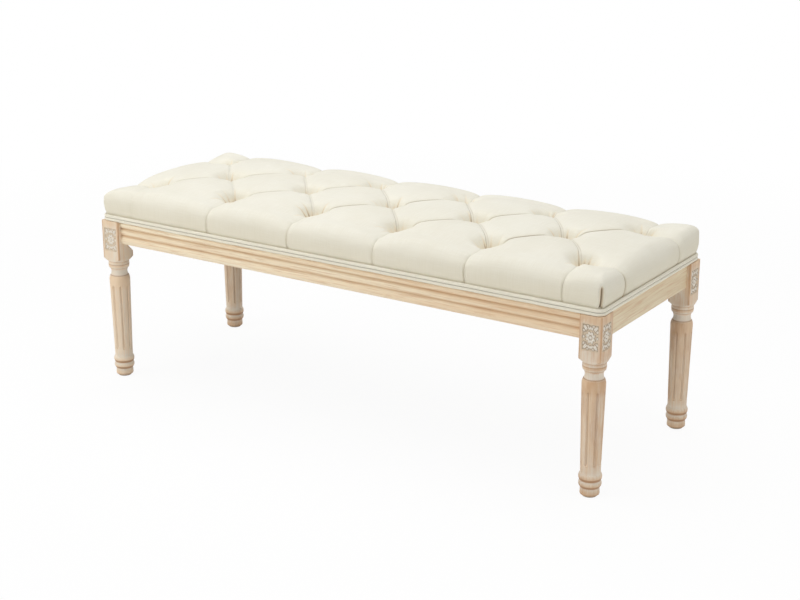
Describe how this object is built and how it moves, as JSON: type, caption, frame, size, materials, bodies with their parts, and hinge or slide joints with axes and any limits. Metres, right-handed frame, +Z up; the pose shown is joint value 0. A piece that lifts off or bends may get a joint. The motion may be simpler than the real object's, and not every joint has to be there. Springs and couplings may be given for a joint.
{
  "type": "tufted bench",
  "caption": "Long upholstered bench with a diamond-tufted seat, double welt, beaded rails and turned, fluted legs with carved rosettes on their square posts.",
  "frame": {"origin": "on the floor under the middle of the bench", "axes": "+X along the bench to its right end, +Y to its rear, +Z up"},
  "size_m": [1.22, 0.443, 0.4483],
  "materials": {
    "leg_wood": "limed, worn on its edges",
    "rail_wood": "limed, satin",
    "carved_wood": "limed, white in the hollows",
    "frame_wood": "bare, sawn",
    "plywood": "bare",
    "cover_cloth": "plain linen weave",
    "welt_cloth": "plain linen weave on cord",
    "foam": "open cell foam",
    "twine": "waxed twine",
    "dust_cloth": "thin bonded cloth",
    "steel": "zinc plated",
    "glide_plastic": "matte"
  },
  "bodies": {
    "root": {"front_left_leg": "leg_wood", "front_right_leg": "leg_wood", "rear_left_leg": "leg_wood", "rear_right_leg": "leg_wood", "carved_rosettes": "carved_wood", "front_rail": "rail_wood", "rear_rail": "rail_wood", "left_end_rail": "rail_wood", "right_end_rail": "rail_wood", "left_cross_rail": "frame_wood", "right_cross_rail": "frame_wood", "front_left_corner_block": "frame_wood", "front_right_corner_block": "frame_wood", "rear_left_corner_block": "frame_wood", "rear_right_corner_block": "frame_wood", "rail_dowels": "frame_wood", "cross_rail_dowels": "frame_wood", "leg_bolts": "steel", "leg_washers": "steel", "leg_nuts": "steel", "block_screws": "steel", "deck_screws": "steel", "front_left_glide": "glide_plastic", "front_right_glide": "glide_plastic", "rear_left_glide": "glide_plastic", "rear_right_glide": "glide_plastic", "seat_deck": "plywood", "dust_cover": "dust_cloth", "seat_foam": "foam", "seat_cover": "cover_cloth", "double_welt": "welt_cloth", "tuft_buttons": "cover_cloth", "tuft_ties": "twine"}
  },
  "joints": []
}
